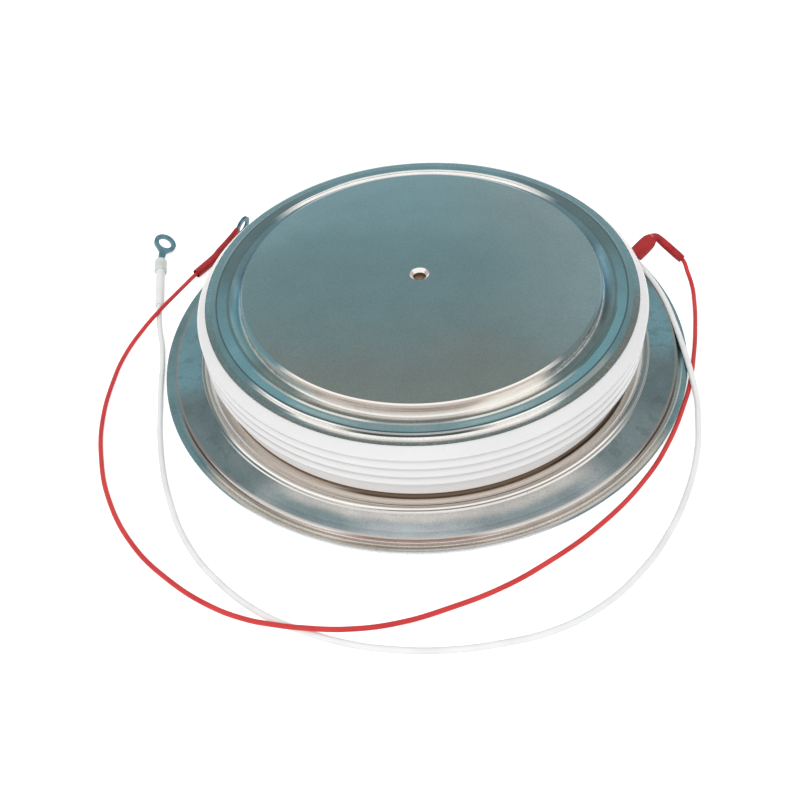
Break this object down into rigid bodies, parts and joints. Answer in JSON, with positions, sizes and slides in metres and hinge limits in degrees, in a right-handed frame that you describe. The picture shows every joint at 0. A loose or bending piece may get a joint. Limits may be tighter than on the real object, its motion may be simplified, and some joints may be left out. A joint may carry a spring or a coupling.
{
  "type": "thyristor",
  "caption": "Disc thyristor for pressure contact: two plated pole pieces close a ribbed white ceramic ring, with a gate lead and an auxiliary cathode lead.",
  "frame": {"origin": "centre of the lower (cathode) pole face", "axes": "+Z along the housing's axis, from the cathode pole face to the anode pole face; the gate tube leaves at 38 degrees and the auxiliary cathode's tab at 20 degrees from +X towards +Y"},
  "size_m": [0.1757, 0.1752, 0.0265],
  "materials": {
    "plated_copper": "satin nickel plating on turned copper",
    "plated_sheet": "satin nickel plating on pressed copper sheet",
    "white_ceramic": "glazed white alumina",
    "silicon": "metallised silicon",
    "molybdenum": "lapped molybdenum",
    "silicone_seal": "soft silicone",
    "inner_plastic": "plain white plastic",
    "spring_steel": "drawn spring wire",
    "silver_contact": "silver",
    "nickel_iron": "drawn nickel-iron",
    "white_wire": "satin white silicone",
    "crimp_cover": "milky soft plastic",
    "tinned_copper": "tinned copper",
    "red_wire": "smooth red plastic",
    "red_shrink": "red heat-shrink"
  },
  "bodies": {
    "root": {"anode_pole_piece": "plated_copper", "anode_sheet": "plated_sheet", "ceramic_ring": "white_ceramic", "weld_sheet": "plated_sheet", "lid_sheet": "plated_sheet", "cathode_pole_piece": "plated_copper", "silicon_wafer": "silicon", "anode_molybdenum_disc": "molybdenum", "cathode_molybdenum_disc": "molybdenum", "wafer_edge_seal": "silicone_seal", "locating_ring": "inner_plastic", "gate_cup": "inner_plastic", "gate_spring": "spring_steel", "gate_contact": "silver_contact", "gate_wire": "silver_contact", "gate_insulation": "inner_plastic", "gate_tube": "nickel_iron", "gate_eyelet": "nickel_iron", "gate_lead": "white_wire", "gate_lead_root_sleeve": "white_wire", "gate_lead_end_sleeve": "white_wire", "gate_crimp_cover": "crimp_cover", "gate_ring_terminal": "tinned_copper", "cathode_tab": "tinned_copper", "cathode_strand": "tinned_copper", "cathode_lead": "red_wire", "cathode_lead_root_sleeve": "red_shrink", "cathode_lead_end_sleeve": "red_shrink", "cathode_ring_terminal": "tinned_copper"}
  },
  "joints": []
}
